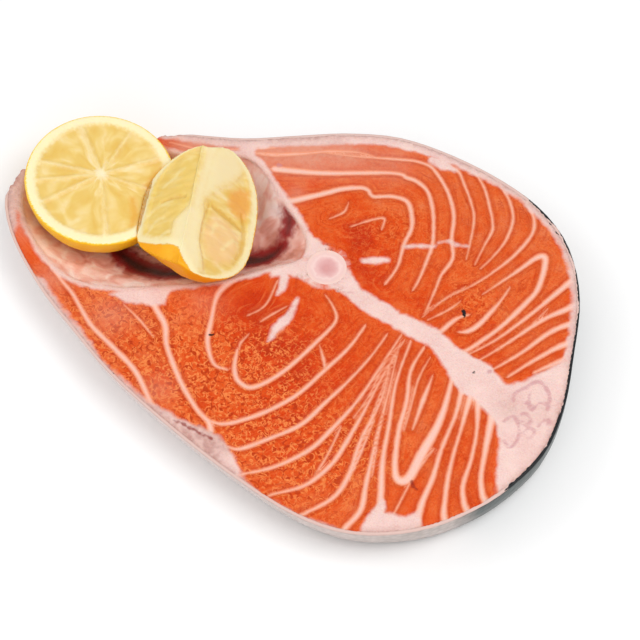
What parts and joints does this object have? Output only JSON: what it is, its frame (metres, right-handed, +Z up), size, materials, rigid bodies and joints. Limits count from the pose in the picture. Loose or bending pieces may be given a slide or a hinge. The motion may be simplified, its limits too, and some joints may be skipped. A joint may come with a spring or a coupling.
{
  "type": "raw salmon steak with lemon",
  "caption": "Raw salmon steak cut across the fish, skin on, one vertebra, with half a lemon and a lemon wedge in its belly cavity.",
  "frame": {"origin": "on the surface that the steak rests on, under the middle of the whole", "axes": "+X from the belly flaps to the back of the fish, +Y across the cut face, +Z up through the thickness of the cut"},
  "size_m": [0.2148, 0.1507, 0.0368],
  "materials": {
    "salmon_muscle": "moist",
    "fish_skin": "wet satin",
    "vertebra_bone": "moist",
    "cut_lemon": "moist",
    "lemon_peel": "waxy"
  },
  "bodies": {
    "root": {"flesh": "salmon_muscle", "skin": "fish_skin", "backbone": "vertebra_bone", "lemon_half": "cut_lemon", "lemon_wedge": "lemon_peel"}
  },
  "joints": []
}
